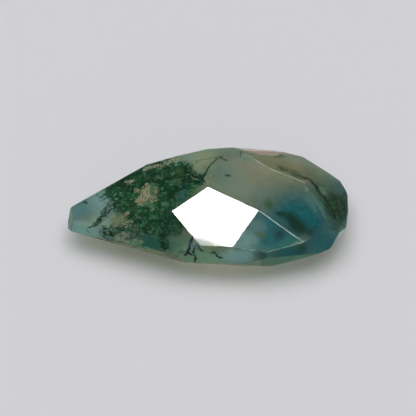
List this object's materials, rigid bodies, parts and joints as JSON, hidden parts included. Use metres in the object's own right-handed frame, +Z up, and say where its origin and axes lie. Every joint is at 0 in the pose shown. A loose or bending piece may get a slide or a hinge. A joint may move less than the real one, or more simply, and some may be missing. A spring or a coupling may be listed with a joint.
{
  "type": "faceted moss agate",
  "caption": "Loose pear-shaped gemstone with large flat hand-cut facets, a blunt narrow end and a flat resting facet, in translucent blue-green moss agate.",
  "frame": {"origin": "on the flat resting facet under the stone, at the middle of the stone's length and width", "axes": "+X along the stone to its round end, +Y to its back, +Z up"},
  "size_m": [0.0252, 0.0138, 0.0055],
  "materials": {
    "moss_agate": "polished facets on translucent milky stone with green moss-like growths inside"
  },
  "bodies": {
    "root": {"moss_agate_stone": "moss_agate"}
  },
  "joints": []
}
